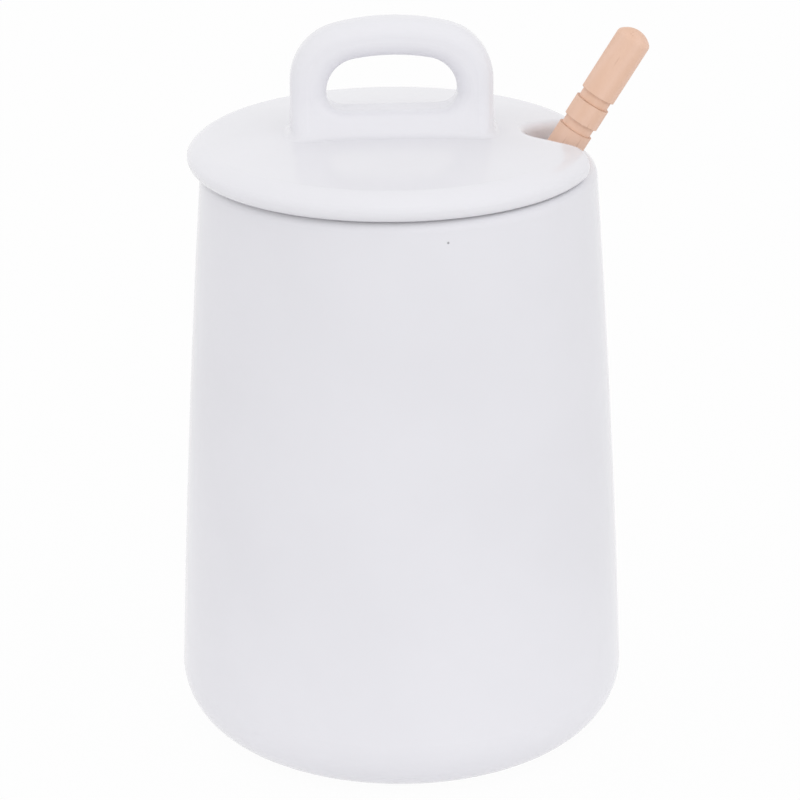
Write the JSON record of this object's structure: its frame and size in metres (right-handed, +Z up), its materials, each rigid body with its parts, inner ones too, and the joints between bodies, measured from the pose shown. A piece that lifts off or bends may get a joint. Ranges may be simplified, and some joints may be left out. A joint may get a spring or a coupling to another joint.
{
  "type": "honey pot",
  "caption": "Tapered glazed ceramic honey pot with a lift-off domed lid that has a loop handle and a rim notch, and a wooden dipper that leans out through the notch.",
  "frame": {"origin": "centre of the pot's axis in the plane that the foot ring stands on", "axes": "+Z up along the pot's axis, +X towards the side where the lid has its notch and the dipper leans out"},
  "size_m": [0.1029, 0.0988, 0.1611],
  "materials": {
    "pot_glaze": "gloss",
    "lid_glaze": "gloss",
    "beech": "bare, sanded"
  },
  "bodies": {
    "pot": {"pot_body": "pot_glaze"},
    "lid": {"lid": "lid_glaze"},
    "dipper": {"honey_dipper": "beech"}
  },
  "joints": [
    {"name": "lid_lift", "type": "slide", "parent": "pot", "child": "lid", "axis": [0, 0, 1], "range_m": [0, 0.085]},
    {"name": "dipper_pull", "type": "slide", "parent": "pot", "child": "dipper", "axis": [0.5242, 0, 0.8516], "range_m": [0, 0.085]}
  ]
}
